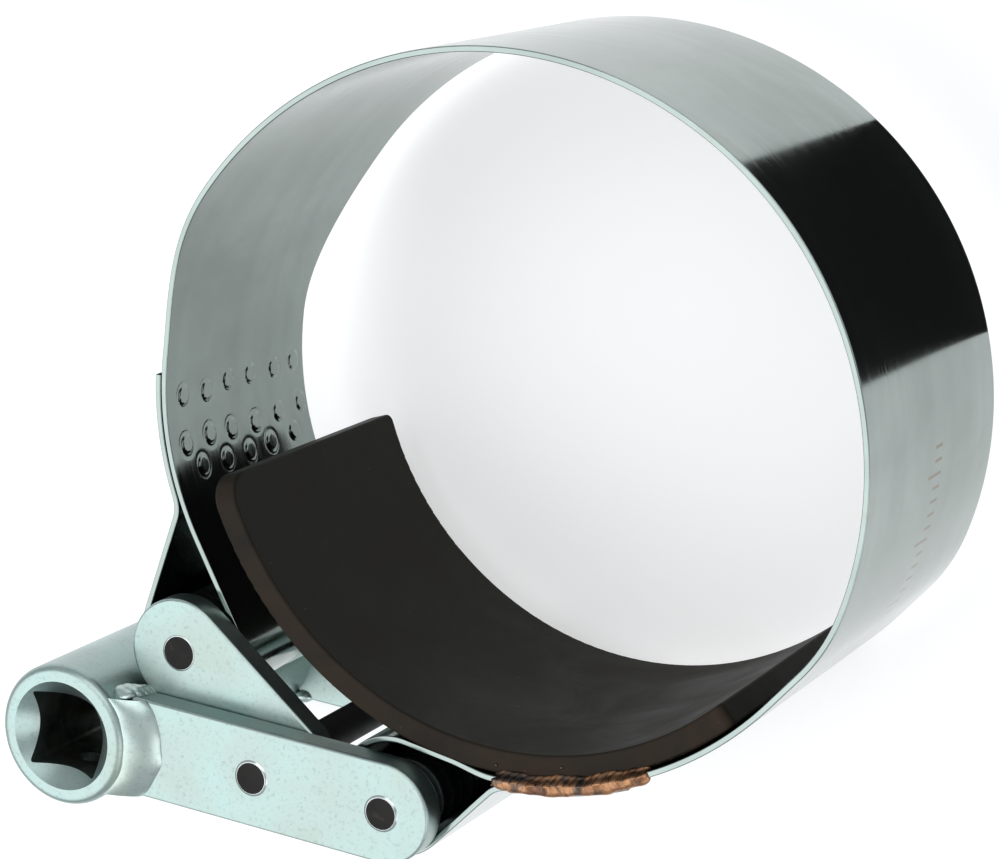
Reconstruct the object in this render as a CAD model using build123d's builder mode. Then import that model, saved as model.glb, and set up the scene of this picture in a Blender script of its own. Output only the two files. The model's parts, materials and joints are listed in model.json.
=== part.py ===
from build123d import *
import math
import os

os.makedirs("parts", exist_ok=True)

# Frame: the ring's axis is Z, through X = Y = 0. The lever lies along X below the ring,
# and Z = 0 is the rear face of the drive socket. Everything is symmetric about mid_height.

# Strap
ring_radius = 59.2
strap_thickness = 1.0
strap_half_width = 28.0
hinge_gap = 0.3
hinge_angles = (-15.0, 15.0, 45.0)
layer_gap = 0.15

# Anchor end of the strap: it wraps the shoe, makes a fixed eye, and its tail runs back beneath
anchor_half_width = 26.1
anchor_ring_arc = 1.0
corner_bend = (30.0, 22.16)
corner_run = 7.21
wrap_radius = 59.65
wrap_arc = 58.84
anchor_run = 8.0
anchor_eye_radius = 9.7
anchor_eye_arc = 235.7
anchor_tail_run = 15.93
anchor_tail_bend = (5.0, 44.2)
anchor_tail_arc = 20.0
anchor_taper = (2.0, -6.0)

# Free end of the strap: an eye round the link's roller, with a spot-welded tail
free_half_width = 21.75
free_ring_arc = 17.0
bulge_radius = 64.6
bulge_arc = 103.33
flank_radius = 53.0
flank_arc = 46.38
free_run = 15.5
free_eye_radius = 9.8
free_eye_arc = 227.25
free_tail_run = 19.16
free_tail_bend = (6.0, 38.54)
free_tail_arc = 22.0
free_taper = (30.0, 2.0)

# Reach of the cutting solids that shape the strap's width
mask_reach = 150.0

# Spot welds: angle about the flank's centre, number in the row, spacing along Z
weld_rows = ((185.8, 6, 7.1), (194.5, 6, 7.4), (199.7, 5, 7.4))
weld_offset = -1.0
spot_radius = 1.5
spot_rise = 0.25
spot_drill_overrun = 2.5

# Linkage
mid_height = 34.8
lever_pivot = Vector(-15.6, -64.5)
link_pivot = Vector(-40.2, -64.5)
strap_pivot = Vector(-58.4, -48.2)
pin_radius = 3.1
running_clearance = 0.05
pin_proud = 0.2
lever_half_width = 8.56
lever_plate_z = (26.35, 31.0)
link_plate_z = (22.25, 26.25)
plate_edge_radius = 0.5
link_heel = Vector(-37.1, -62.0)
link_outline = ((strap_pivot, 9.3), (link_pivot, 8.4), (link_heel, 7.8))
anchor_roller_radius = 6.5
strap_roller_radius = 8.4
roller_half_length = 21.9

# Drive socket: a tube with a half-inch square at each end
socket_centre = Vector(-75.6, -64.5)
socket_radius = 12.3
socket_half_length = mid_height
drive_square = 12.9
drive_corner = 0.6
drive_depth = 21.0
bore_radius = 6.2
socket_edge_radius = 1.5
lead_in_radius = 9.5
lead_in_depth = 3.2
detent_radius = 2.0
detent_depth = 9.0
fillet_run = 6.0
fillet_rise = 3.3
fillet_bulge = 0.54
fillet_arc = 88.0
bead_radius = 2.2
bead_overlap = 1.0

# Pressure shoe: its own centre, beside the ring's
shoe_centre = Vector(0.3, 3.6)
shoe_inner_radius = 54.0
shoe_thickness = 4.0
shoe_half_width = 27.0
shoe_angles = (-159.0, -44.3)
shoe_front_corner = 5.0
shoe_corner = 1.5
shoe_edge_radius = 0.5
shoe_weld_angles = (-87.0, -61.6)
shoe_weld_radii = (57.0, 60.5)
shoe_weld_crown = 1.8
shoe_weld_ledge = 0.1

length_tolerance = 0.01
mid_plane = Plane.XY.offset(mid_height)
half_gap_angle = math.degrees(hinge_gap / 2 / ring_radius)


def finish(piece, name):
    """Label one finished piece and write its file."""
    piece.part.label = name
    export_step(piece.part, f"parts/{name}.step")


def polar(radius, angle, centre=Vector(0, 0)):
    """Point at a radius and an angle in degrees about a centre."""
    turn = math.radians(angle)
    return Vector(centre.X + radius * math.cos(turn), centre.Y + radius * math.sin(turn))


def strap_route(angle, steps):
    """Draw the tangent chain that leaves the ring at an angle. A step is a length or (radius, turn)."""
    point = polar(ring_radius, angle)
    heading = polar(1, angle + math.copysign(90, angle))
    for step in steps:
        if isinstance(step, tuple):
            edge = JernArc(point, heading, radius=step[0], arc_size=step[1])
        else:
            edge = Line(point, point + heading * step)
        point = edge @ 1
        heading = edge % 1


def ring_section(start, end):
    """Plain strap between two hinge lines, half a gap short of each."""
    CenterArc((0, 0), ring_radius, start + half_gap_angle, end - start - 2 * half_gap_angle)


def taper_mask(wide, narrow, end_half_width):
    """Width of the strap along one axis: full down to wide, then down to the eye's width."""
    Polyline(
        (mask_reach, -strap_half_width),
        (mask_reach, strap_half_width),
        (wide, strap_half_width),
        (narrow, end_half_width),
        (-mask_reach, end_half_width),
        (-mask_reach, -end_half_width),
        (narrow, -end_half_width),
        (wide, -strap_half_width),
        close=True,
    )


# Strap, anchor end: bottom of the ring, eye round the anchor roller, tail back under the shoe
tail_radius = wrap_radius + strap_thickness + layer_gap
with BuildPart() as strap_anchor_end:
    with BuildSketch(mid_plane):
        with BuildLine():
            strap_route(
                hinge_angles[0] - half_gap_angle,
                (
                    (ring_radius, half_gap_angle - anchor_ring_arc),
                    (corner_bend[0], -corner_bend[1]),
                    corner_run,
                    (wrap_radius, -wrap_arc),
                    anchor_run,
                    (anchor_eye_radius, anchor_eye_arc),
                    anchor_tail_run,
                    (anchor_tail_bend[0], -anchor_tail_bend[1]),
                    (tail_radius, anchor_tail_arc),
                ),
            )
        trace(line_width=strap_thickness)
    extrude(amount=strap_half_width, both=True)
    with BuildSketch(Plane(origin=(0, 0, mid_height), x_dir=(1, 0, 0), z_dir=(0, -1, 0))):
        with BuildLine():
            taper_mask(*anchor_taper, anchor_half_width)
        make_face()
    extrude(amount=mask_reach, both=True, mode=Mode.INTERSECT)
finish(strap_anchor_end, "strap_anchor_end")

# Strap, the two plain sections between the bending lines
with BuildPart() as strap_lower_section:
    with BuildSketch(mid_plane):
        with BuildLine():
            ring_section(hinge_angles[0], hinge_angles[1])
        trace(line_width=strap_thickness)
    extrude(amount=strap_half_width, both=True)
finish(strap_lower_section, "strap_lower_section")

with BuildPart() as strap_upper_section:
    with BuildSketch(mid_plane):
        with BuildLine():
            ring_section(hinge_angles[1], hinge_angles[2])
        trace(line_width=strap_thickness)
    extrude(amount=strap_half_width, both=True)
finish(strap_upper_section, "strap_upper_section")

# Strap, free end: top and left of the ring, eye round the link's roller, tail up the outside
flank_start_heading = hinge_angles[2] + 90 + free_ring_arc + bulge_arc
bulge_centre = polar(ring_radius - bulge_radius, hinge_angles[2] + free_ring_arc)
flank_centre = polar(bulge_radius - flank_radius, flank_start_heading - 90, bulge_centre)
outer_layer_radius = flank_radius + strap_thickness + layer_gap
both_layers = 2 * strap_thickness + layer_gap
spot_drill_length = both_layers + 2 * spot_drill_overrun


def spot_axes():
    """Planes of the spot welds, each looking outward from the flank's centre."""
    axes = []
    for angle, count, pitch in weld_rows:
        outward = polar(1, angle)
        for index in range(count):
            height = mid_height + weld_offset + (index - (count - 1) / 2) * pitch
            origin = (flank_centre.X, flank_centre.Y, height)
            axes.append(Plane(origin=origin, x_dir=(0, 0, 1), z_dir=outward))
    return axes


with BuildPart() as strap_free_end:
    with BuildSketch(mid_plane):
        with BuildLine():
            strap_route(
                hinge_angles[2] + half_gap_angle,
                (
                    (ring_radius, free_ring_arc - half_gap_angle),
                    (bulge_radius, bulge_arc),
                    (flank_radius, flank_arc),
                    free_run,
                    (free_eye_radius, -free_eye_arc),
                    free_tail_run,
                    (free_tail_bend[0], free_tail_bend[1]),
                    (outer_layer_radius, -free_tail_arc),
                ),
            )
        trace(line_width=strap_thickness)
    extrude(amount=strap_half_width, both=True)
    with BuildSketch(Plane(origin=(0, 0, mid_height), x_dir=(0, 1, 0), z_dir=(1, 0, 0))):
        with BuildLine():
            taper_mask(*free_taper, free_half_width)
        make_face()
    extrude(amount=mask_reach, both=True, mode=Mode.INTERSECT)
    for axis in spot_axes():
        with BuildSketch(axis.offset(flank_radius - strap_thickness / 2 - spot_drill_overrun)):
            Circle(spot_radius)
        extrude(amount=spot_drill_length, mode=Mode.SUBTRACT)
finish(strap_free_end, "strap_free_end")

# Spot welds that join the free end's two layers, standing a little proud on the inside
with BuildPart() as spot_welds:
    for axis in spot_axes():
        with BuildSketch(axis.offset(flank_radius - strap_thickness / 2 - spot_rise)):
            Circle(spot_radius)
        extrude(amount=both_layers + spot_rise)
finish(spot_welds, "spot_welds")



def is_shoe_corner(edge):
    """True for the straight edges that run through the shoe's thickness."""
    return abs(edge.length - shoe_thickness) < length_tolerance


# Pressure shoe: thick curved plate that bears on the filter
with BuildPart() as pressure_shoe:
    with BuildSketch(mid_plane):
        with BuildLine():
            CenterArc(
                shoe_centre,
                shoe_inner_radius + shoe_thickness / 2,
                shoe_angles[0],
                shoe_angles[1] - shoe_angles[0],
            )
        trace(line_width=shoe_thickness)
    extrude(amount=shoe_half_width, both=True)
    corner_edges = pressure_shoe.edges().filter_by(is_shoe_corner)
    front_left = corner_edges.sort_by(Axis.Z)[2:].sort_by(Axis.X)[0]
    small_corners = corner_edges.sort_by(Axis.Z)[:2] + [corner_edges.sort_by(Axis.Z)[2:].sort_by(Axis.X)[1]]
    fillet(front_left, radius=shoe_front_corner)
    fillet(small_corners, radius=shoe_corner)
    rim = pressure_shoe.edges().filter_by(is_shoe_corner, reverse=True)
    fillet(rim, radius=shoe_edge_radius)
finish(pressure_shoe, "pressure_shoe")


def shoe_weld_profile(side):
    """Section of the bead that ties the shoe's edge to both layers of the strap's edge."""
    inner, outer = shoe_weld_radii
    shoe_outer = shoe_inner_radius + shoe_thickness
    step = shoe_outer + shoe_weld_ledge
    shoe_face = mid_height + side * shoe_half_width
    strap_face = mid_height + side * strap_half_width
    crown = (step + shoe_weld_ledge, strap_face + side * shoe_weld_crown)
    Line((inner, shoe_face), (step, shoe_face))
    Line((step, shoe_face), (step, strap_face))
    Line((step, strap_face), (outer, strap_face))
    ThreePointArc((outer, strap_face), crown, (inner, shoe_face))


shoe_axis = Axis((shoe_centre.X, shoe_centre.Y, 0), (0, 0, 1))
weld_plane = Plane(
    origin=(shoe_centre.X, shoe_centre.Y, 0),
    x_dir=polar(1, shoe_weld_angles[0]),
    z_dir=polar(1, shoe_weld_angles[0] - 90),
)

with BuildPart() as shoe_weld_front:
    with BuildSketch(weld_plane):
        with BuildLine():
            shoe_weld_profile(1)
        make_face()
    revolve(axis=shoe_axis, revolution_arc=shoe_weld_angles[1] - shoe_weld_angles[0])
finish(shoe_weld_front, "shoe_weld_front")

with BuildPart() as shoe_weld_rear:
    with BuildSketch(weld_plane):
        with BuildLine():
            shoe_weld_profile(-1)
        make_face()
    revolve(axis=shoe_axis, revolution_arc=shoe_weld_angles[1] - shoe_weld_angles[0])
finish(shoe_weld_rear, "shoe_weld_rear")

# Rollers: the anchor's turns on the lever's pivot, the strap's sits on the link's pin
with BuildPart() as anchor_roller:
    with BuildSketch(mid_plane):
        with Locations(lever_pivot):
            Circle(anchor_roller_radius)
            Circle(pin_radius + running_clearance, mode=Mode.SUBTRACT)
    extrude(amount=roller_half_length, both=True)
finish(anchor_roller, "anchor_roller")

with BuildPart() as strap_roller:
    with BuildSketch(mid_plane):
        with Locations(strap_pivot):
            Circle(strap_roller_radius)
            Circle(pin_radius, mode=Mode.SUBTRACT)
    extrude(amount=roller_half_length, both=True)
finish(strap_roller, "strap_roller")


# Pins across the tool: two stand a little proud of the lever's plates, the strap's is flush
proud_pin_end = lever_plate_z[1] + pin_proud
for name, centre in (("pivot_pin", lever_pivot), ("link_pin", link_pivot)):
    with BuildPart() as proud_pin:
        with BuildSketch(mid_plane):
            with Locations(centre):
                Circle(pin_radius)
        extrude(amount=proud_pin_end, both=True)
        chamfer(proud_pin.edges().filter_by(GeomType.CIRCLE), length=pin_proud)
    finish(proud_pin, name)

with BuildPart() as strap_pin:
    with BuildSketch(mid_plane):
        with Locations(strap_pivot):
            Circle(pin_radius)
    extrude(amount=link_plate_z[1], both=True)
finish(strap_pin, "strap_pin")


# Lever: two side plates, rounded at the pivot end and hollowed to sit against the socket
for name, side in (("lever_plate_front", 1), ("lever_plate_rear", -1)):
    inner_plane = mid_plane.offset(side * lever_plate_z[0])
    thickness = side * (lever_plate_z[1] - lever_plate_z[0])
    with BuildPart() as lever_plate:
        with BuildSketch(inner_plane):
            with Locations((lever_pivot + socket_centre) / 2):
                SlotCenterToCenter(lever_pivot.X - socket_centre.X, 2 * lever_half_width)
        extrude(amount=thickness)
        fillet(lever_plate.edges().filter_by(Axis.Z, reverse=True), radius=plate_edge_radius)
        with BuildSketch(inner_plane):
            with Locations(socket_centre):
                Circle(socket_radius)
            with Locations(socket_centre):
                Rectangle(2 * socket_radius, 3 * socket_radius, align=(Align.MAX, Align.CENTER))
            with Locations(lever_pivot, link_pivot):
                Circle(pin_radius)
        extrude(amount=thickness, mode=Mode.SUBTRACT)
    finish(lever_plate, name)

# Link plates: the hull of two eyes and a heel, fixed on the strap's pin, free on the lever's
for name, side in (("link_plate_front", 1), ("link_plate_rear", -1)):
    inner_plane = mid_plane.offset(side * link_plate_z[0])
    thickness = side * (link_plate_z[1] - link_plate_z[0])
    with BuildPart() as link_plate:
        with BuildSketch(inner_plane):
            for centre, radius in link_outline:
                with Locations(centre):
                    Circle(radius)
            make_hull()
        extrude(amount=thickness)
        outer_face = link_plate.faces().sort_by(Axis.Z)[-1 if side > 0 else 0]
        fillet(outer_face.edges(), radius=plate_edge_radius)
        with BuildSketch(inner_plane):
            with Locations(strap_pivot):
                Circle(pin_radius)
            with Locations(link_pivot):
                Circle(pin_radius + running_clearance)
        extrude(amount=thickness, mode=Mode.SUBTRACT)
    finish(link_plate, name)

# Drive socket: tube, square from both ends, round bore between, lead-ins and detent holes
with BuildPart() as drive_socket:
    with BuildSketch(mid_plane):
        with Locations(socket_centre):
            Circle(socket_radius)
    extrude(amount=socket_half_length, both=True)
    fillet(drive_socket.edges().filter_by(GeomType.CIRCLE), radius=socket_edge_radius)
    with BuildSketch(mid_plane):
        with Locations(socket_centre):
            Circle(bore_radius)
    extrude(amount=socket_half_length, both=True, mode=Mode.SUBTRACT)
    for face_plane in (mid_plane.offset(socket_half_length), mid_plane.offset(-socket_half_length)):
        inward = -1 if face_plane.origin.Z > mid_height else 1
        with BuildSketch(face_plane):
            with Locations(socket_centre):
                RectangleRounded(drive_square, drive_square, drive_corner)
        extrude(amount=inward * drive_depth, mode=Mode.SUBTRACT)
        with BuildSketch(face_plane):
            with Locations(socket_centre):
                Circle(lead_in_radius)
        extrude(amount=inward * lead_in_depth, taper=45, mode=Mode.SUBTRACT)
        detent_height = face_plane.origin.Z + inward * detent_depth
        with BuildSketch(Plane.XZ.offset(-socket_centre.Y)):
            with Locations((socket_centre.X, detent_height)):
                Circle(detent_radius)
        extrude(amount=socket_radius + 1, mode=Mode.SUBTRACT)
finish(drive_socket, "drive_socket")


# Lever welds: a fillet between each plate's outer face and the socket, and a bead on its edges
socket_axis = Axis((socket_centre.X, socket_centre.Y, 0), (0, 0, 1))
fillet_plane = Plane(
    origin=(socket_centre.X, socket_centre.Y, 0),
    x_dir=polar(1, -fillet_arc / 2),
    z_dir=polar(1, -fillet_arc / 2 - 90),
)
corner_x = math.sqrt(socket_radius**2 - lever_half_width**2)


def fillet_profile(face, side):
    """Section of the fillet: a bulging triangle between the plate's face and the socket."""
    toe = (socket_radius + fillet_run, face)
    crown = (socket_radius + fillet_bulge * fillet_run, face + side * fillet_bulge * fillet_rise)
    top = (socket_radius, face + side * fillet_rise)
    Line((socket_radius, face), toe)
    ThreePointArc(toe, crown, top)
    Line(top, (socket_radius, face))


def edge_beads():
    """Round beads in the corners between the plate's two edges and the socket."""
    for edge_side in (-1, 1):
        offset = Vector(corner_x + bead_radius / 2, edge_side * lever_half_width)
        with Locations(socket_centre + offset):
            Circle(bead_radius)
    with Locations(socket_centre):
        Circle(socket_radius, mode=Mode.SUBTRACT)
    with Locations(lever_pivot):
        Rectangle(
            lever_pivot.X - socket_centre.X,
            2 * lever_half_width,
            align=(Align.MAX, Align.CENTER),
            mode=Mode.SUBTRACT,
        )


for name, side in (("lever_weld_front", 1), ("lever_weld_rear", -1)):
    with BuildPart() as lever_weld:
        with BuildSketch(fillet_plane):
            with BuildLine():
                fillet_profile(mid_height + side * lever_plate_z[1], side)
            make_face()
        revolve(axis=socket_axis, revolution_arc=fillet_arc)
        with BuildSketch(mid_plane):
            with Locations(lever_pivot):
                Rectangle(
                    lever_pivot.X - socket_centre.X,
                    2 * lever_half_width,
                    align=(Align.MAX, Align.CENTER),
                )
        extrude(amount=side * socket_half_length, mode=Mode.INTERSECT)
        with BuildSketch(mid_plane.offset(side * lever_plate_z[0])):
            edge_beads()
        extrude(amount=side * (lever_plate_z[1] - lever_plate_z[0] + bead_overlap))
    finish(lever_weld, name)
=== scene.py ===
import json
import math

import bmesh
import bpy
import numpy as np
from mathutils import Matrix, Vector

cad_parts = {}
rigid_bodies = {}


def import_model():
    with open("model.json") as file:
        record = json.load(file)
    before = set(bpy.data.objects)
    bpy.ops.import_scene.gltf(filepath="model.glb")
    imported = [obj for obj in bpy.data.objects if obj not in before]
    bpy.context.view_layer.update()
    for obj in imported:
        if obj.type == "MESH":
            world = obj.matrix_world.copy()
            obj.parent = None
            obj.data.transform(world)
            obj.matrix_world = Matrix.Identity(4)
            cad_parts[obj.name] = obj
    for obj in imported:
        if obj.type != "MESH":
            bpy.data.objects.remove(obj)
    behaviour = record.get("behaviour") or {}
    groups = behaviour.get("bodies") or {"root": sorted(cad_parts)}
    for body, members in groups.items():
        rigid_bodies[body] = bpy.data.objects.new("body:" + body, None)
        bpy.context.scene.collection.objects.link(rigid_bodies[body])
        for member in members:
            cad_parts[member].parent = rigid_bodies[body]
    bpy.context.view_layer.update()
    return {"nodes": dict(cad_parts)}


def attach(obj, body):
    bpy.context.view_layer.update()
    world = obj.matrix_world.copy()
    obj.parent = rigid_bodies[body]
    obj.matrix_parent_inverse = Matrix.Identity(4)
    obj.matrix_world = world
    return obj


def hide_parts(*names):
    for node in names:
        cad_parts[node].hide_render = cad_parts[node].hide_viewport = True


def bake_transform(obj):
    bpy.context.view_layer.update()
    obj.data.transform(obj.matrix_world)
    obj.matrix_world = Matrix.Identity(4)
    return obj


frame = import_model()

MM = 0.001

# Driving sizes, in millimetres unless a name says otherwise, as in the part's own source
RING_RADIUS = 59.2
STRAP_THICKNESS = 1.0
STRAP_HALF_WIDTH = 28.0
FREE_HALF_WIDTH = 21.75
ANCHOR_HALF_WIDTH = 26.1
LAYER_GAP = 0.15
MID_HEIGHT = 34.8
LEVER_PIVOT = (-15.6, -64.5)
LINK_PIVOT = (-40.2, -64.5)
STRAP_PIVOT = (-58.4, -48.2)
SOCKET_CENTRE = (-75.6, -64.5)
SOCKET_RADIUS = 12.3
CORNER_START = 16.0
CORNER_BEND = (30.0, 22.16)
HALF_CORNER = (CORNER_BEND[0], -CORNER_BEND[1] / 2)
CORNER_RUN = 7.21
WRAP_RADIUS = 59.65
WRAP_ARC = 58.84
ANCHOR_RUN = 8.0
ANCHOR_EYE = (9.7, 235.7)
ANCHOR_TAIL_RUN = 15.93
ANCHOR_TAIL_BEND = (5.0, 44.2)
ANCHOR_TAIL_ARC = 20.0
SHOE_CENTRE = (0.3, 3.6)
SHOE_OUTER_RADIUS = 58.0
SHOE_HALF_WIDTH = 27.0
PIN_RADIUS = 3.1
LEVER_FACE = 31.0
LEVER_HALF_WIDTH = 8.56
LINK_FACE = 26.25
HINGES = (-15.0, 15.0, 45.0)
FREE_RING_ARC = 17.0
BULGE_RADIUS = 64.6
BULGE_ARC = 103.33
FLANK_RADIUS = 53.0
FLANK_ARC = 46.38
FREE_RUN = 15.5
FREE_EYE = (9.8, -227.25)
FREE_TAIL_RUN = 19.16
FREE_TAIL_BEND = (6.0, 38.54)
FREE_TAIL_ARC = 22.0
WELD_ROWS = ((185.8, 6, 7.1), (194.5, 6, 7.4), (199.7, 5, 7.4))
WELD_OFFSET = -1.0
WELD_SEED = 7
WELD_RISE = 0.28
PER_DEGREE = math.radians(1) * RING_RADIUS
OUTER_FLANK_RADIUS = FLANK_RADIUS + STRAP_THICKNESS + LAYER_GAP


# ---------------------------------------------------------------- node helpers

class Shader:
    """A node material with one Principled shader and small helpers for its network."""

    def __init__(self, name):
        self.material = bpy.data.materials.new(name)
        self.material.use_nodes = True
        self.tree = self.material.node_tree
        self.tree.nodes.clear()
        self.output = self.tree.nodes.new("ShaderNodeOutputMaterial")
        self.shader = self.tree.nodes.new("ShaderNodeBsdfPrincipled")
        self.link(self.shader, "BSDF", self.output, "Surface")

    def link(self, source, output, target, socket):
        self.tree.links.new(source.outputs[output], target.inputs[socket])

    def set(self, **values):
        """Uniform values straight on the shader's sockets; underscores stand for spaces."""
        for name, value in values.items():
            self.shader.inputs[name.replace("_", " ")].default_value = value

    def texture_coordinates(self):
        return self.tree.nodes.new("ShaderNodeTexCoord")

    def coordinates(self, kind="Object", scale=(1, 1, 1)):
        mapping = self.tree.nodes.new("ShaderNodeMapping")
        mapping.inputs["Scale"].default_value = scale
        self.link(self.texture_coordinates(), kind, mapping, "Vector")
        return mapping

    def split(self, source, output):
        """Splits a vector; returns a node with X, Y and Z outputs."""
        node = self.tree.nodes.new("ShaderNodeSeparateXYZ")
        self.link(source, output, node, "Vector")
        return node

    def noise(self, where, scale, detail=4.0, roughness=0.55, distortion=0.0):
        node = self.tree.nodes.new("ShaderNodeTexNoise")
        node.inputs["Scale"].default_value = scale
        node.inputs["Detail"].default_value = detail
        node.inputs["Roughness"].default_value = roughness
        node.inputs["Distortion"].default_value = distortion
        self.link(where, "Vector", node, "Vector")
        return node

    def ramp(self, source, output, stops):
        node = self.tree.nodes.new("ShaderNodeValToRGB")
        band = node.color_ramp
        while len(band.elements) < len(stops):
            band.elements.new(0.5)
        for element, (position, colour) in zip(band.elements, stops):
            element.position = position
            element.color = (*colour, 1.0)
        self.link(source, output, node, "Fac")
        return node

    def level(self, source, output, low, high, to_low, to_high):
        """Remaps a value; returns a node with a Result output."""
        node = self.tree.nodes.new("ShaderNodeMapRange")
        names = ("From Min", "From Max", "To Min", "To Max")
        for name, value in zip(names, (low, high, to_low, to_high)):
            node.inputs[name].default_value = value
        self.link(source, output, node, "Value")
        return node

    def math(self, operation, *operands):
        """Arithmetic on numbers and (node, output) pairs; returns a node with a Value output."""
        node = self.tree.nodes.new("ShaderNodeMath")
        node.operation = operation
        for index, operand in enumerate(operands):
            if isinstance(operand, tuple):
                self.tree.links.new(operand[0].outputs[operand[1]], node.inputs[index])
            else:
                node.inputs[index].default_value = operand
        return node

    def mix(self, factor, first, second, blend="MIX"):
        """Mixes two colours, each a colour or a (node, output) pair; returns a node with Result."""
        node = self.tree.nodes.new("ShaderNodeMix")
        node.data_type = "RGBA"
        node.blend_type = blend
        colour_sockets = (node.inputs[6], node.inputs[7])
        for socket, value in zip((node.inputs[0], *colour_sockets), (factor, first, second)):
            if isinstance(value, tuple) and isinstance(value[0], bpy.types.Node):
                self.tree.links.new(value[0].outputs[value[1]], socket)
            elif isinstance(value, (int, float)):
                socket.default_value = value
            else:
                socket.default_value = (*value, 1.0)
        return node

    def bump(self, source, output, distance, strength=1.0, normal=None):
        node = self.tree.nodes.new("ShaderNodeBump")
        node.inputs["Strength"].default_value = strength
        node.inputs["Distance"].default_value = distance
        self.link(source, output, node, "Height")
        if normal is not None:
            self.link(normal, "Normal", node, "Normal")
        return node


# ---------------------------------------------------------------- materials

def strap_steel():
    """Bright strip with fine streaks along its length, faint stains and an etched row of ticks."""
    s = Shader("strap_steel")
    s.set(Metallic=1.0, Anisotropic=0.0)
    streaks = s.noise(s.coordinates("UV", (6, 1400, 1)), 1.0, 3.0, 0.6)
    bands = s.noise(s.coordinates("UV", (1.5, 160, 1)), 1.0, 2.0, 0.5)
    cloud = s.noise(s.coordinates(), 45.0, 4.0, 0.6, 0.4)
    base = s.ramp(cloud, "Fac", (
        (0.30, (0.245, 0.285, 0.268)),
        (0.62, (0.295, 0.345, 0.325)),
        (0.78, (0.270, 0.300, 0.272)),
    ))
    tint = s.ramp(bands, "Fac", ((0.35, (0.93, 0.93, 0.93)), (0.65, (1.0, 1.0, 1.0))))
    etched_brown = (0.20, 0.17, 0.13)
    colour = s.mix(1.0, (base, "Color"), (tint, "Color"), "MULTIPLY")
    colour = s.mix((etched_ticks(s), "Value"), (colour, "Result"), etched_brown)
    s.link(colour, "Result", s.shader, "Base Color")
    s.link(s.level(streaks, "Fac", 0.3, 0.7, 0.085, 0.19), "Result", s.shader, "Roughness")
    s.link(s.bump(streaks, "Fac", 0.0000045), "Normal", s.shader, "Normal")
    return s.material


def etched_ticks(s):
    """Mask of a plain graduated scale: short ticks with every fifth one longer, read from UV."""
    pitch, half_line, half_long_line = 0.0022, 0.00028, 0.0004
    short_tick, extra_for_long = 0.0030, 0.0026
    foot, scale_start, scale_end = -0.0035, -0.0285, 0.0048
    split = s.split(s.texture_coordinates(), "UV")
    length, height = (split, "X"), (split, "Y")
    place = s.math("PINGPONG", length, pitch / 2)
    thin = s.math("LESS_THAN", (place, "Value"), half_line)
    long_place = s.math("PINGPONG", length, 5 * pitch / 2)
    is_long = s.math("LESS_THAN", (long_place, "Value"), half_long_line)
    reach = s.math("MULTIPLY_ADD", (is_long, "Value"), extra_for_long, short_tick)
    offset = s.math("SUBTRACT", height, foot)
    up = s.math("GREATER_THAN", (offset, "Value"), 0.0)
    down = s.math("LESS_THAN", (offset, "Value"), (reach, "Value"))
    first = s.math("GREATER_THAN", length, scale_start)
    last = s.math("LESS_THAN", length, scale_end)
    mask = thin
    for part in (up, down, first, last):
        mask = s.math("MULTIPLY", (mask, "Value"), (part, "Value"))
    return mask


def zinc_steel(name, glow=(0.315, 0.385, 0.362), rough=(0.30, 0.44), grain=0.00002, dirt_and_shade=None):
    """Satin zinc plate: fine speckle, cool and faintly warm patches, soft scuffs.

    stain(shader, colour node) gives the colour node to use in place of the plain zinc's: for the socket, oily
    dirt with painted shade.
    """
    s = Shader(name)
    s.set(Metallic=1.0)
    where = s.coordinates()
    patch = s.noise(where, 70.0, 3.0, 0.6, 0.6)
    speck = s.noise(where, 1500.0, 3.0, 0.7)
    cool = tuple(c * k for c, k in zip(glow, (0.93, 1.0, 1.02)))
    warm = tuple(c * k for c, k in zip(glow, (1.03, 1.0, 0.93)))
    base = s.ramp(patch, "Fac", ((0.32, cool), (0.55, glow), (0.75, warm)))
    shade = s.ramp(speck, "Fac", ((0.30, (0.80, 0.80, 0.80)), (0.46, (1.0, 1.0, 1.0))))
    colour = s.mix(1.0, (base, "Color"), (shade, "Color"), "MULTIPLY")
    if dirt_and_shade is not None:
        colour = dirt_and_shade(s, colour)
    s.link(colour, "Result", s.shader, "Base Color")
    s.link(s.level(patch, "Fac", 0.3, 0.7, *rough), "Result", s.shader, "Roughness")
    s.link(s.bump(speck, "Fac", grain, 0.6), "Normal", s.shader, "Normal")
    return s.material


def socket_dirt_and_shade(s, zinc_colour):
    """Oily yellow-brown dirt and painted shade inside the tube's square hole, fading out at its rim and its
    ends.
    """
    rim_radius, darkened_radius = 0.0097, 0.0087
    end_height, darkened_height = 0.0335, 0.0285
    where = s.coordinates()
    split = s.split(where, "Vector")
    squares = []
    for axis, centre in zip("XY", SOCKET_CENTRE):
        offset = (s.math("SUBTRACT", (split, axis), centre * MM), "Value")
        squares.append((s.math("MULTIPLY", offset, offset), "Value"))
    radius = s.math("SQRT", (s.math("ADD", *squares), "Value"))
    drop = s.math("ABSOLUTE", (s.math("SUBTRACT", (split, "Z"), MID_HEIGHT * MM), "Value"))
    inside = s.level(radius, "Value", rim_radius, darkened_radius, 0.0, 1.0)
    deep = s.level(drop, "Value", end_height, darkened_height, 0.0, 1.0)
    # painted shade: darker grey-green deep inside the hole, mixed with real oily yellow-brown dirt
    dirt_and_shade_colour = s.ramp(s.noise(where, 160.0, 4.0, 0.65, 0.8), "Fac", (
        (0.38, (0.10, 0.115, 0.11)),
        (0.55, (0.24, 0.26, 0.245)),
        (0.68, (0.20, 0.17, 0.10)),
    ))
    mask = s.math("MULTIPLY", (inside, "Result"), (deep, "Result"))
    return s.mix((mask, "Value"), (zinc_colour, "Result"), (dirt_and_shade_colour, "Color"))


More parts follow.
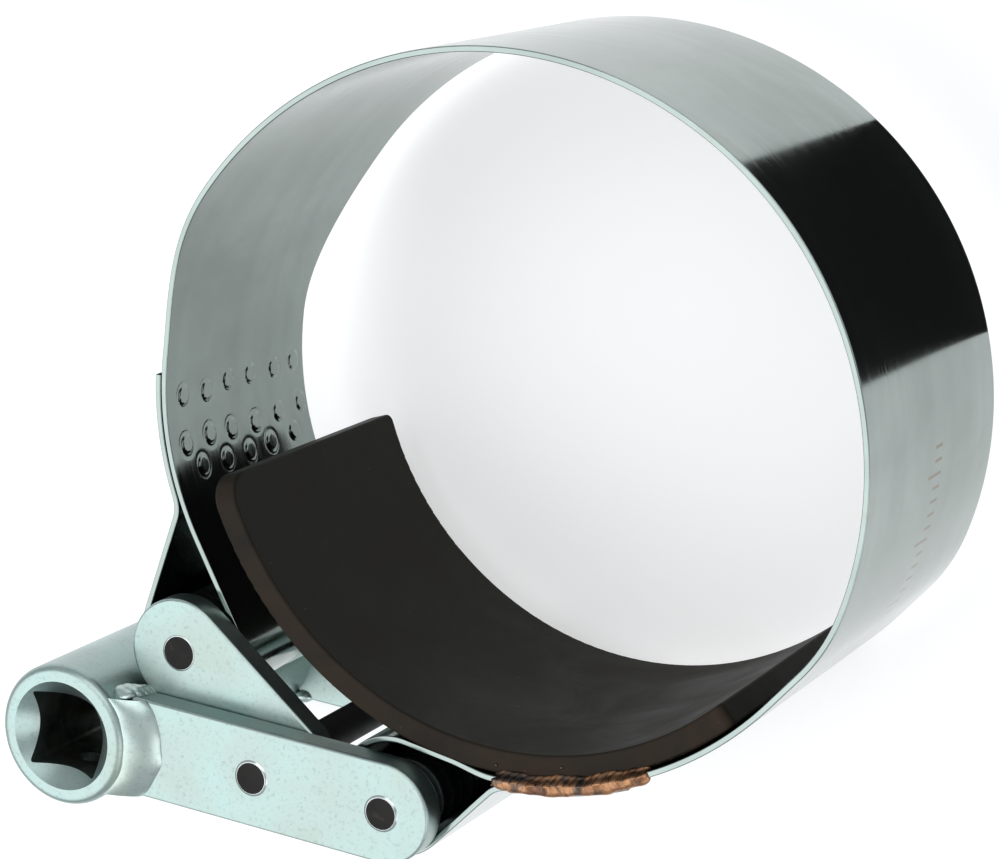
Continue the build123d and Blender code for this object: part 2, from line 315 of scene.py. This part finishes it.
def shoe_steel():
    """Blackened plate with an oily sheen: brown and bare on its cut edges."""
    s = Shader("shoe_steel")
    s.set(Metallic=0.0, IOR=1.5, Specular_IOR_Level=0.07)
    where = s.coordinates()
    mottle = s.noise(where, 55.0, 5.0, 0.6, 0.7)
    grain = s.noise(where, 900.0, 4.0, 0.65)
    face = s.ramp(mottle, "Fac", (
        (0.32, (0.009, 0.0085, 0.0065)),
        (0.55, (0.012, 0.0112, 0.0085)),
        (0.75, (0.017, 0.0145, 0.0105)),
    ))
    edge = s.ramp(mottle, "Fac", (
        (0.35, (0.012, 0.0105, 0.008)),
        (0.60, (0.024, 0.0165, 0.0115)),
        (0.78, (0.042, 0.022, 0.0125)),
    ))
    bare_steel = (0.055, 0.045, 0.036)
    normal = s.split(s.tree.nodes.new("ShaderNodeNewGeometry"), "Normal")
    facing = s.math("ABSOLUTE", (normal, "Z"))
    cut = s.level(facing, "Value", 0.25, 0.75, 0.0, 1.0)
    colour = s.mix((cut, "Result"), (face, "Color"), (edge, "Color"))
    specks = s.ramp(grain, "Fac", ((0.68, (0, 0, 0)), (0.76, (1, 1, 1))))
    colour = s.mix((specks, "Color"), (colour, "Result"), bare_steel)
    s.link(colour, "Result", s.shader, "Base Color")
    s.link(s.level(mottle, "Fac", 0.3, 0.7, 0.42, 0.62), "Result", s.shader, "Roughness")
    low = s.bump(mottle, "Fac", 0.00012, 0.5)
    s.link(s.bump(grain, "Fac", 0.00002, 0.7, low), "Normal", s.shader, "Normal")
    return s.material


def copper_weld():
    """Bead with heat tint that changes along its length: copper, brown and grey."""
    s = Shader("copper_weld")
    s.set(Metallic=1.0)
    where = s.coordinates()
    tint = s.noise(where, 130.0, 3.0, 0.6, 1.2)
    fine = s.noise(where, 900.0, 3.0, 0.6)
    base = s.ramp(tint, "Fac", (
        (0.30, (0.055, 0.052, 0.050)),
        (0.42, (0.15, 0.098, 0.070)),
        (0.50, (0.36, 0.185, 0.095)),
        (0.60, (0.17, 0.092, 0.060)),
        (0.74, (0.085, 0.074, 0.068)),
    ))
    s.link(base, "Color", s.shader, "Base Color")
    s.link(s.level(fine, "Fac", 0.3, 0.7, 0.22, 0.45), "Result", s.shader, "Roughness")
    s.link(s.bump(fine, "Fac", 0.00005, 0.6), "Normal", s.shader, "Normal")
    return s.material


def black_pin():
    """Black oxide, a little worn."""
    s = Shader("black_pin")
    s.set(Metallic=0.0, Specular_IOR_Level=0.10)
    where = s.coordinates()
    grain = s.noise(where, 1200.0, 4.0, 0.6)
    wear = s.noise(where, 400.0, 3.0, 0.6, 0.5)
    base = s.ramp(wear, "Fac", (
        (0.35, (0.012, 0.012, 0.011)),
        (0.62, (0.018, 0.0175, 0.016)),
        (0.76, (0.034, 0.032, 0.029)),
    ))
    s.link(base, "Color", s.shader, "Base Color")
    s.link(s.level(wear, "Fac", 0.3, 0.7, 0.5, 0.68), "Result", s.shader, "Roughness")
    s.link(s.bump(grain, "Fac", 0.00002, 0.6), "Normal", s.shader, "Normal")
    return s.material


def roller_steel():
    """Turned steel with rings round its axis."""
    s = Shader("roller_steel")
    s.set(Metallic=1.0)
    rings = s.noise(s.coordinates("Object", (20, 20, 2200)), 1.0, 3.0, 0.6)
    cloud = s.noise(s.coordinates(), 120.0, 3.0, 0.6, 0.5)
    base = s.ramp(cloud, "Fac", ((0.35, (0.40, 0.43, 0.43)), (0.65, (0.54, 0.58, 0.58))))
    s.link(base, "Color", s.shader, "Base Color")
    s.link(s.level(rings, "Fac", 0.3, 0.7, 0.16, 0.30), "Result", s.shader, "Roughness")
    s.link(s.bump(rings, "Fac", 0.00001, 0.7), "Normal", s.shader, "Normal")
    return s.material


# ---------------------------------------------------------------- mesh helpers

def grid_faces(rows, columns, wrap):
    """Quads of a grid, joined round its columns when wrap is true."""
    faces = []
    last = columns if wrap else columns - 1
    for row in range(rows - 1):
        for column in range(last):
            right = (column + 1) % columns
            faces.append((row * columns + column, row * columns + right,
                          (row + 1) * columns + right, (row + 1) * columns + column))
    return faces


def new_object(name, points, faces, material, normals=None, uv=None):
    """A mesh object from points in millimetres, with optional analytic normals and UVs in metres."""
    mesh = bpy.data.meshes.new(name)
    mesh.from_pydata((np.asarray(points) * MM).tolist(), [], faces)
    mesh.polygons.foreach_set("use_smooth", [True] * len(mesh.polygons))
    mesh.materials.append(material)
    if uv is not None:
        layer = mesh.uv_layers.new(name="UVMap")
        loops = np.zeros(len(mesh.loops), np.int32)
        mesh.loops.foreach_get("vertex_index", loops)
        layer.data.foreach_set("uv", (np.asarray(uv)[loops] * MM).ravel())
    mesh.update()
    if normals is not None:
        mesh.normals_split_custom_set_from_vertices(np.asarray(normals).tolist())
    obj = bpy.data.objects.new(name, mesh)
    bpy.context.collection.objects.link(obj)
    return obj


def route(angle, turning, steps, spacing):
    """Points, tangents and lengths of a tangent chain that leaves the ring at an angle.

    turning is 1 for anticlockwise travel and -1 for clockwise. A step is a run's length, or an
    arc's radius and turn in degrees, which may be followed by a spacing of its own.
    """
    start = math.radians(angle)
    point = RING_RADIUS * np.array([math.cos(start), math.sin(start)])
    heading = start + turning * math.pi / 2
    points, headings, lengths = [point], [heading], [0.0]
    for step in steps:
        first, first_length = points[-1], lengths[-1]
        if isinstance(step, tuple):
            radius, turn = step[0], math.radians(step[1])
            size = step[2] if len(step) > 2 else spacing
            count = max(3, math.ceil(radius * abs(turn) / size), math.ceil(abs(step[1]) / 3))
            side = math.copysign(1, turn)
            left = np.array([-math.sin(heading), math.cos(heading)])
            centre = first + side * radius * left
            for index in range(1, count + 1):
                swing = turn * index / count
                now = heading + swing
                out = np.array([-math.sin(now), math.cos(now)])
                points.append(centre - side * radius * out)
                headings.append(now)
                lengths.append(first_length + radius * abs(swing))
            heading += turn
        else:
            count = max(1, math.ceil(step / spacing))
            along = np.array([math.cos(heading), math.sin(heading)])
            for index in range(1, count + 1):
                points.append(first + along * step * index / count)
                headings.append(heading)
                lengths.append(first_length + step * index / count)
    return np.array(points), np.array(headings), np.array(lengths)


def ease(edge_low, edge_high, value):
    """Smooth step from 0 to 1 between two edges."""
    t = np.clip((value - edge_low) / (edge_high - edge_low), 0, 1)
    return t * t * (3 - 2 * t)


def waves(length, height, scale, size, seed):
    """Gentle irregular waviness in millimetres, a sum of a few fixed sines."""
    count = 7
    local = np.random.default_rng(seed)
    total = np.zeros(np.broadcast(length, height).shape)
    for _ in range(count):
        turn = local.uniform(0, 2 * math.pi)
        pitch = scale * local.uniform(0.7, 1.8)
        phase = local.uniform(0, 2 * math.pi)
        across = length * math.cos(turn) + height * math.sin(turn)
        total += np.sin(2 * math.pi * across / pitch + phase)
    return total * size / count


def strap_band(name, path, half_width, material, relief, columns=40, first_length=0.0):
    """A strip along a path, with rolled edges, analytic normals and UVs in lengths.

    relief(length, height, side) gives how far the surface on that side stands out. Each profile
    entry is a share of the width, a rise past it, a level through the thickness, and the normal's
    parts through the thickness and across the width.
    """
    points, headings, lengths = path
    lengths = lengths + first_length
    half, edge = STRAP_THICKNESS / 2, 0.22
    across = np.linspace(-1, 1, columns)
    profile = [(k, 0.0, half, 1.0, 0.0) for k in across]
    for turn in (30, 60):
        a = math.radians(turn)
        level = half - edge + edge * math.cos(a)
        profile.append((1, edge * math.sin(a), level, math.cos(a), math.sin(a)))
    profile += [(1, edge, half - edge, 0.0, 1.0), (1, edge, edge - half, 0.0, 1.0)]
    for turn in (60, 30):
        a = math.radians(turn)
        level = -(half - edge + edge * math.cos(a))
        profile.append((1, edge * math.sin(a), level, -math.cos(a), math.sin(a)))
    profile += [(k, 0.0, -half, -1.0, 0.0) for k in across[::-1]]
    for _, rise, level, normal_level, normal_rise in profile[columns:columns + 6][::-1]:
        profile.append((-1, -rise, level, normal_level, -normal_rise))
    profile = np.array(profile)
    tangent = np.stack([np.cos(headings), np.sin(headings)], 1)[:, None]
    left = np.stack([-np.sin(headings), np.cos(headings)], 1)[:, None]
    width = np.asarray(half_width)[:, None] - edge
    height = profile[None, :, 0] * width + profile[None, :, 1]
    out = np.broadcast_to(profile[None, :, 2], height.shape).copy()
    normal_out = np.broadcast_to(profile[None, :, 3], height.shape).copy()
    normal_up = np.broadcast_to(profile[None, :, 4], height.shape).copy()
    normal_along = np.zeros_like(height)
    length = np.broadcast_to(lengths[:, None], height.shape)
    step = 0.02
    for side in (1, -1):
        flat = profile[None, :, 3] == side
        lift = relief(length, height, side)
        rise_along = relief(length + step, height, side) - relief(length - step, height, side)
        rise_up = relief(length, height + step, side) - relief(length, height - step, side)
        out += np.where(flat, side * lift, 0)
        normal_along -= np.where(flat, rise_along / (2 * step), 0)
        normal_up -= np.where(flat, rise_up / (2 * step), 0)
    position = points[:, None] + out[..., None] * left
    vertices = np.concatenate([position, (MID_HEIGHT + height)[..., None]], 2).reshape(-1, 3)
    flat_normal = normal_out[..., None] * left + normal_along[..., None] * tangent
    normals = np.concatenate([flat_normal, normal_up[..., None]], 2).reshape(-1, 3)
    normals /= np.linalg.norm(normals, axis=1)[:, None]
    rows, count = height.shape
    uv = np.stack([length, height], 2).reshape(-1, 2)
    return new_object(name, vertices, grid_faces(rows, count, True), material, normals, uv)


def lathe(name, centre, profile, material, segments, rim_material=None, rim_stretches=()):
    """A solid of revolution about a vertical axis, from (radius, height) points in millimetres.

    The stretches of the profile that rim_stretches names take rim_material.
    """
    turn = np.linspace(0, 2 * math.pi, segments, endpoint=False)
    points = []
    for radius, height in profile:
        x = centre[0] + radius * np.cos(turn)
        y = centre[1] + radius * np.sin(turn)
        points.append(np.stack([x, y, np.full(segments, height)], 1))
    faces = grid_faces(len(profile), segments, True)
    obj = new_object(name, np.concatenate(points), faces, material)
    if rim_material:
        obj.data.materials.append(rim_material)
    for index, polygon in enumerate(obj.data.polygons):
        polygon.material_index = int(index // segments in rim_stretches)
    mesh = bmesh.new()
    mesh.from_mesh(obj.data)
    bmesh.ops.remove_doubles(mesh, verts=mesh.verts, dist=1e-7)
    bmesh.ops.recalc_face_normals(mesh, faces=mesh.faces)
    mesh.to_mesh(obj.data)
    mesh.free()
    obj.data.set_sharp_from_angle(angle=math.radians(28))
    return obj


# ---------------------------------------------------------------- strap

def dimple_centres():
    """(angle round the flank in degrees, height above the middle) of each spot weld."""
    local = np.random.default_rng(WELD_SEED)
    centres = []
    for angle, count, pitch in WELD_ROWS:
        for index in range(count):
            jog = local.uniform(-0.45, 0.45, 2)
            height = WELD_OFFSET + (index - (count - 1) / 2) * pitch + jog[1]
            centres.append((angle + math.degrees(jog[0] / FLANK_RADIUS), height))
    return centres


def shift(length, height):
    """How far the whole strap stands inward of its true line."""
    return waves(length, height, 34.0, 0.035, 11)


def bend(band):
    """Bakes a ring piece's placement into its mesh; nothing blends it between the sections on either side of
    a hinge.
    """
    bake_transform(band)


def strap_right(steel):
    """Right side, anticlockwise: two pieces, over the middle hinge and the upper hinge."""
    for low, high, bodies, name, node, hinge in (
        (0.0, 30.0, ("strap_lower", "strap_upper"), "strap_right", "strap_lower_section", HINGES[1]),
        (30.0, 62.0, ("strap_upper", "strap_free"), "strap_right_high", "strap_upper_section", HINGES[2]),
    ):
        path = route(low, 1, ((RING_RADIUS, high - low),), 1.2)
        width = np.full(len(path[0]), STRAP_HALF_WIDTH)
        band = strap_band(name, path, width, steel, lambda length, height, side: side * shift(length, height),
                          first_length=low * PER_DEGREE)
        bend(band)
        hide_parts(node)


def clockwise_relief(length, height, side):
    return -side * shift(-length, height)


def strap_right_low(steel):
    """Lower right, clockwise: the ring's end and the first half of the corner, over the lower hinge."""
    path = route(0.0, -1, ((RING_RADIUS, -CORNER_START), HALF_CORNER), 1.2)
    width = np.full(len(path[0]), STRAP_HALF_WIDTH)
    band = strap_band("strap_right_low", path, width, steel, clockwise_relief)
    flip_length(band)
    bend(band)


def strap_anchor(steel):
    """Anchor end, still clockwise, so its length runs down from the piece before it."""
    path = route(
        0.0, -1,
        ((RING_RADIUS, -CORNER_START), HALF_CORNER, HALF_CORNER, CORNER_RUN, (WRAP_RADIUS, -WRAP_ARC),
         ANCHOR_RUN, (*ANCHOR_EYE, 0.8), ANCHOR_TAIL_RUN, (ANCHOR_TAIL_BEND[0], -ANCHOR_TAIL_BEND[1], 0.4),
         (WRAP_RADIUS + STRAP_THICKNESS + LAYER_GAP, ANCHOR_TAIL_ARC)),
        1.2,
    )
    origin = CORNER_START * PER_DEGREE + math.radians(CORNER_BEND[1] / 2) * CORNER_BEND[0]
    first = int(np.argmin(np.abs(path[2] - origin)))
    path = tuple(column[first:] for column in path)
    taper_left, taper_right = -6.5, 2.5
    taper = ease(taper_left, taper_right, path[0][:, 0])
    width = ANCHOR_HALF_WIDTH + (STRAP_HALF_WIDTH - ANCHOR_HALF_WIDTH) * taper
    band = strap_band("strap_anchor", path, width, steel, clockwise_relief)
    flip_length(band)
    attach(band, "strap_base")
    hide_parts("strap_anchor_end")


def strap_free(steel):
    """Free end: its first stretch, then the flank with the weld dimples, the eye and the tail."""
    start = HINGES[2] + FREE_RING_ARC
    flank_first = start + BULGE_ARC
    flank_last = flank_first + FLANK_ARC
    weld_start, weld_end = 182.5, 202.5
    tail_first_angle = 203.0
    before_flank = math.radians(BULGE_ARC) * BULGE_RADIUS
    tail_first = (
        before_flank
        + math.radians(FLANK_ARC) * FLANK_RADIUS
        + FREE_RUN
        + math.radians(-FREE_EYE[1]) * FREE_EYE[0]
        + FREE_TAIL_RUN
        + math.radians(FREE_TAIL_BEND[1]) * FREE_TAIL_BEND[0]
    )
    path = route(
        start, 1,
        ((BULGE_RADIUS, BULGE_ARC), (FLANK_RADIUS, weld_start - flank_first),
         (FLANK_RADIUS, weld_end - weld_start, 0.3), (FLANK_RADIUS, flank_last - weld_end),
         FREE_RUN, (*FREE_EYE, 0.9), FREE_TAIL_RUN, (*FREE_TAIL_BEND, 0.5),
         (OUTER_FLANK_RADIUS, weld_end - tail_first_angle),
         (OUTER_FLANK_RADIUS, weld_start - weld_end, 0.35),
         (OUTER_FLANK_RADIUS, tail_first_angle - weld_start - FREE_TAIL_ARC)),
        1.5,
    )
    taper_low, taper_high = 1.0, 31.0
    taper = ease(taper_low, taper_high, path[0][:, 1])
    width = FREE_HALF_WIDTH + (STRAP_HALF_WIDTH - FREE_HALF_WIDTH) * taper
    bumps = []
    for angle, high in dimple_centres():
        inner = before_flank + math.radians(angle - flank_first) * FLANK_RADIUS
        outer = tail_first + math.radians(tail_first_angle - angle) * OUTER_FLANK_RADIUS
        bumps += [(inner, high), (outer, high)]

    def relief(length, height, side):
        """The strap's waviness, rougher near the spot welds, with their bumps on the inside."""
        offset = length - start * PER_DEGREE
        near = ease(before_flank + 6, before_flank + 18, offset)
        near = near * (1 - ease(before_flank + 36, before_flank + 46, offset))
        lift = side * (shift(length, height) + near * waves(length, height, 11.0, 0.11, 23))
        if side < 0:
            return lift
        for place, high in bumps:
            apart = np.hypot((offset - place) * 0.92, height - high)
            lift = lift + WELD_RISE * (1 - ease(1.2, 1.75, apart))
            lift = lift - 0.05 * np.exp(-((apart - 1.95) / 0.3) ** 2)
        return lift

    band = strap_band("strap_free", path, width, steel, relief, columns=150,
                      first_length=start * PER_DEGREE)
    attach(band, "strap_free")
    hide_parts("strap_free_end", "spot_welds")


def flip_length(obj):
    """Turns a piece's UV length round, so that it runs on from the section before it."""
    layer = obj.data.uv_layers["UVMap"].data
    uv = np.zeros(len(layer) * 2, np.float32)
    layer.foreach_get("uv", uv)
    uv[::2] *= -1
    layer.foreach_set("uv", uv)


# ---------------------------------------------------------------- pins and rollers

def pins(black, bright):
    """Pins with a bright chamfered rim and a fine turned groove in each black face."""
    def pin(name, centre, half, rim, body, node):
        steps = [(0.0, -0.15), (2.0, -0.13), (2.3, -0.02), (PIN_RADIUS - rim - 0.12, 0.0)]
        steps += [(PIN_RADIUS - rim, -0.03), (PIN_RADIUS, -rim * 0.9)]
        top = [(radius, MID_HEIGHT + half + rise) for radius, rise in steps]
        bottom = [(radius, MID_HEIGHT - half - rise) for radius, rise in steps]
        profile = top + bottom[::-1]
        rims = (len(top) - 3, len(top) - 2, len(top), len(top) + 1)
        obj = lathe(name, centre, profile, black, 72, bright, rims)
        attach(obj, body)
        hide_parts(node)

    pin("pin_lever", LEVER_PIVOT, LEVER_FACE + 0.2, 0.3, "lever", "pivot_pin")
    pin("pin_link", LINK_PIVOT, LEVER_FACE + 0.2, 0.3, "lever", "link_pin")
    pin("pin_strap", STRAP_PIVOT, LINK_FACE, 0.12, "link", "strap_pin")


def rollers(steel):
    """Turned bushes with chamfered, faced ends."""
    def roller(name, centre, radius, bore, body, node):
        half, cut = 21.9, 0.5
        profile = [
            (bore, -half + 0.3), (bore + 0.3, -half), (radius - cut, -half),
            (radius - 0.15, -half + 0.12), (radius, -half + cut), (radius, half - cut),
            (radius - 0.15, half - 0.12), (radius - cut, half), (bore + 0.3, half),
            (bore, half - 0.3), (bore, -half + 0.3),
        ]
        profile = [(r, MID_HEIGHT + z) for r, z in profile]
        obj = lathe(name, centre, profile, steel, 96)
        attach(obj, body)
        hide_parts(node)

    roller("roller_anchor", LEVER_PIVOT, 6.5, 3.15, "strap_base", "anchor_roller")
    roller("roller_strap", STRAP_PIVOT, 8.4, 3.12, "link", "strap_roller")


# ---------------------------------------------------------------- welds

def shoe_weld(name, side, material, node, seed):
    """Rippled bead along the shoe's edge: overlapping crescents with a ragged toe and spatter."""
    local = np.random.default_rng(seed)
    rows, columns = 300, 30
    first, last = math.radians(-88.2), math.radians(-60.8)
    arc_radius, crown, pitch = 60.0, 1.05, 1.35
    u = np.linspace(0, 1, rows)[:, None]
    v = np.linspace(0, 1, columns)[None, :]
    length = u * (last - first) * arc_radius
    ends = np.sqrt(np.clip(1 - np.abs(2 * u - 1) ** 9, 0, 1))
    wobble = sum(
        local.uniform(0.1, 0.32)
        * np.sin(length * 2 * math.pi / local.uniform(3, 11) + local.uniform(0, 6))
        for _ in range(4)
    )
    inner = SHOE_OUTER_RADIUS - 0.95 + 0.3 * wobble
    outer = SHOE_OUTER_RADIUS + 2.3 + 0.22 * np.roll(wobble, 37, axis=0)
    middle, half = (inner + outer) / 2, (outer - inner) / 2
    bow = 2 * v - 1
    phase = (length - 1.5 * bow ** 2 + 0.25 * np.sin(length / 2.1)) / pitch
    saw = phase - np.floor(phase)
    ripple = 0.26 * (1 - saw) ** 1.5 * (1 - bow ** 4)
    dome = np.sqrt(np.clip(1 - np.abs(bow) ** 2.4, 0, 1))
    height = (crown + 0.25 * np.roll(wobble, 90, axis=0)) * dome * ends + ripple * ends
    radius = middle + half * bow * (0.35 + 0.65 * ends)
    base = SHOE_HALF_WIDTH - 0.3 + 1.2 * ease(-0.75, -0.1, bow)
    z = np.minimum(base + height, STRAP_HALF_WIDTH + 1.75)
    angle = first + u * (last - first) + 0 * v
    x = SHOE_CENTRE[0] + radius * np.cos(angle)
    y = SHOE_CENTRE[1] + radius * np.sin(angle)
    top = np.stack([x, y, MID_HEIGHT + side * z], 2).reshape(-1, 3)
    foot = np.broadcast_to(MID_HEIGHT + side * np.minimum(base - 0.2, z), x.shape)
    floor = np.stack([x, y, foot], 2).reshape(-1, 3)
    faces = grid_faces(rows, columns, False)
    lower = [tuple(i + rows * columns for i in reversed(face)) for face in faces]
    obj = new_object(name, np.concatenate([top, floor]), faces + lower, material)
    beads = bmesh.new()
    beads.from_mesh(obj.data)
    for _ in range(5):
        place = local.uniform(first - 0.03, last + 0.05)
        far = local.choice([55.6, 56.5, 59.8]) + local.uniform(-0.4, 0.3)
        size = local.uniform(0.10, 0.26)
        level = SHOE_HALF_WIDTH if far < SHOE_OUTER_RADIUS else STRAP_HALF_WIDTH
        ball = bmesh.ops.create_icosphere(beads, subdivisions=2, radius=size * MM)["verts"]
        spot = Vector((
            SHOE_CENTRE[0] + far * math.cos(place),
            SHOE_CENTRE[1] + far * math.sin(place),
            MID_HEIGHT + side * (level + size * 0.4),
        )) * MM
        bmesh.ops.translate(beads, verts=ball, vec=spot)
    for face in beads.faces:
        face.smooth = True
    beads.normal_update()
    beads.to_mesh(obj.data)
    beads.free()
    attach(obj, "strap_base")
    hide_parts(node)


def lever_weld(name, side, material, node, seed):
    """Smooth zinc-plated fillet from the plate's face up the socket, with a bead on each edge."""
    local = np.random.default_rng(seed)
    rows, columns = 120, 26
    u = np.linspace(0, 1, rows)[:, None]
    v = np.linspace(0, 1, columns)[None, :]
    lumps = sum(
        local.uniform(0.15, 0.4)
        * np.sin(u * local.uniform(6, 22) + v * local.uniform(0, 4) + local.uniform(0, 6))
        for _ in range(6)
    )
    across = (2 * u - 1) * LEVER_HALF_WIDTH
    wall = np.sqrt(SOCKET_RADIUS ** 2 - across ** 2)
    run = 5.5 + 0.4 * lumps
    rise = 3.0 + 0.15 * lumps
    sweep = v * math.pi / 2
    flatness = 1.55 + 0.12 * lumps
    x = SOCKET_CENTRE[0] + wall - 0.25 + (run + 0.25) * np.sin(sweep) ** flatness
    y = SOCKET_CENTRE[1] + across + 0 * v
    z = LEVER_FACE - 0.06 + rise * np.cos(sweep) ** flatness
    top = np.stack([x, y, MID_HEIGHT + side * z], 2).reshape(-1, 3)
    faces = grid_faces(rows, columns, False)
    obj = new_object(name, top, faces, material)
    blobs = bmesh.new()
    blobs.from_mesh(obj.data)
    corner = math.sqrt(SOCKET_RADIUS ** 2 - LEVER_HALF_WIDTH ** 2)
    for edge_side, sizes in ((1, (1.9, 1.9, 1.7, 1.5)), (-1, (1.7, 1.7, 1.5, 1.4))):
        for index, size in enumerate(sizes):
            ball = bmesh.ops.create_icosphere(blobs, subdivisions=4, radius=size * MM)["verts"]
            depth = LEVER_FACE - 0.9 - index * 1.15
            place = Vector((
                SOCKET_CENTRE[0] + corner + 0.7 + 0.5 * index + local.uniform(-0.2, 0.2),
                SOCKET_CENTRE[1] + edge_side * (LEVER_HALF_WIDTH - 0.35 + local.uniform(-0.15, 0.15)),
                MID_HEIGHT + side * depth,
            )) * MM
            for vert in ball:
                swell = 1 + 0.08 * math.sin(vert.co.x * 2600 + index) * math.cos(vert.co.y * 1900)
                vert.co = Vector((vert.co.x * 1.45, vert.co.y * 0.85, vert.co.z)) * swell
            bmesh.ops.translate(blobs, verts=ball, vec=place)
    for face in blobs.faces:
        face.smooth = True
    bmesh.ops.recalc_face_normals(blobs, faces=blobs.faces)
    blobs.to_mesh(obj.data)
    blobs.free()
    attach(obj, "lever")
    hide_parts(node)


# ---------------------------------------------------------------- carried-over CAD nodes

def paint(node, material):
    """Gives a CAD node's object a material, in every slot it has."""
    data = frame["nodes"][node]
    for holder in [data] + list(data.children):
        if holder.type == "MESH":
            if not holder.material_slots:
                holder.data.materials.append(material)
            for place in holder.material_slots:
                place.material = material


# ---------------------------------------------------------------- stage, light and camera

def stage():
    """Pale floor, and a black card seen only in reflections, which makes the strap's dark band."""
    floor_material = Shader("floor")
    floor_material.set(Roughness=0.9, Specular_IOR_Level=0.2)
    floor_material.set(Emission_Color=(1.0, 1.0, 1.0, 1.0), Emission_Strength=0.42)
    cloud = floor_material.noise(floor_material.coordinates(), 3.0)
    tone = floor_material.ramp(cloud, "Fac", ((0.3, (0.60, 0.60, 0.60)), (0.7, (0.62, 0.62, 0.62))))
    floor_material.link(tone, "Color", floor_material.shader, "Base Color")
    reach, level = 3000, -0.2
    corners = [(x * reach, y * reach, level) for x, y in ((-1, -1), (1, -1), (1, 1), (-1, 1))]
    new_object("floor", corners, [(0, 1, 2, 3)], floor_material.material)

    card_material = Shader("card")
    card_material.set(Base_Color=(0.004, 0.004, 0.004, 1.0), Roughness=1.0)
    card_radius, card_level = 61, 0.5
    turns = np.radians(np.linspace(16.5, 55.5, 9))
    outline = [(card_radius * math.cos(turn), card_radius * math.sin(turn)) for turn in turns]
    outline += [(37.8, 80), (39, 100), (95, 100), (125, 70), (125, 23.5)]
    outline = [(x, y, card_level) for x, y in outline]
    card = new_object("card", outline, [tuple(range(len(outline)))], card_material.material)
    card.visible_camera = False
    card.visible_diffuse = False
    card.visible_shadow = False


def lights():
    """Three softboxes and a pale, even sky."""
    def softbox(name, place, size, power, colour=(1, 1, 1)):
        """A lamp that faces the origin."""
        lamp = bpy.data.lights.new(name, "AREA")
        lamp.shape = "RECTANGLE"
        lamp.size, lamp.size_y = size
        lamp.energy = power
        lamp.color = colour
        obj = bpy.data.objects.new(name, lamp)
        bpy.context.collection.objects.link(obj)
        obj.location = place
        obj.rotation_euler = (-Vector(place)).to_track_quat("-Z", "Y").to_euler()

    softbox("key", (-0.55, -0.35, 1.0), (1.3, 1.3), 9.0, (0.97, 0.99, 1.0))
    softbox("top", (0.15, 0.65, 1.1), (1.0, 0.8), 4.5)
    softbox("fill", (0.9, -0.5, 0.8), (0.8, 0.8), 3.5)
    world = bpy.data.worlds.new("studio")
    bpy.context.scene.world = world
    world.use_nodes = True
    background = world.node_tree.nodes["Background"]
    background.inputs["Color"].default_value = (0.93, 0.96, 1.0, 1.0)
    background.inputs["Strength"].default_value = 0.68


def camera():
    """The camera, from its place and the directions to its right and behind it."""
    data = bpy.data.cameras.new("camera")
    data.lens = 108.0
    data.sensor_width = 36.0
    data.clip_start = 0.01
    obj = bpy.data.objects.new("camera", data)
    bpy.context.collection.objects.link(obj)
    obj.location = (0.19831, 0.12137, 0.46115)
    right = Vector((0.88338, 0.07152, -0.46316))
    back = Vector((0.43191, 0.25935, 0.86382)).normalized()
    up = back.cross(right).normalized()
    right = up.cross(back)
    rotation = np.array([right, up, back]).T
    obj.rotation_euler = Matrix(rotation.tolist()).to_euler()
    bpy.context.scene.camera = obj
    bpy.context.scene.view_settings.view_transform = "Standard"


# ---------------------------------------------------------------- build

zinc = zinc_steel("zinc_steel")
weld_zinc = zinc_steel("zinc_weld", (0.40, 0.48, 0.45), (0.22, 0.36), 0.00001)
pin_black = black_pin()
turned = roller_steel()
weld_copper = copper_weld()

strip = strap_steel()
strap_right(strip)
strap_right_low(strip)
strap_anchor(strip)
strap_free(strip)
pins(pin_black, turned)
rollers(turned)
shoe_weld("weld_shoe_front", 1, weld_copper, "shoe_weld_front", 5)
shoe_weld("weld_shoe_rear", -1, weld_copper, "shoe_weld_rear", 6)
lever_weld("weld_lever_front", 1, weld_zinc, "lever_weld_front", 8)
lever_weld("weld_lever_rear", -1, weld_zinc, "lever_weld_rear", 9)
for node in ("lever_plate_front", "lever_plate_rear", "link_plate_front", "link_plate_rear"):
    paint(node, zinc)
# the socket's zinc gets painted shade and oily dirt inside its square hole
paint("drive_socket", zinc_steel("socket_zinc", (0.315, 0.392, 0.372), (0.30, 0.42), dirt_and_shade=socket_dirt_and_shade))
paint("pressure_shoe", shoe_steel())

stage()
lights()
camera()
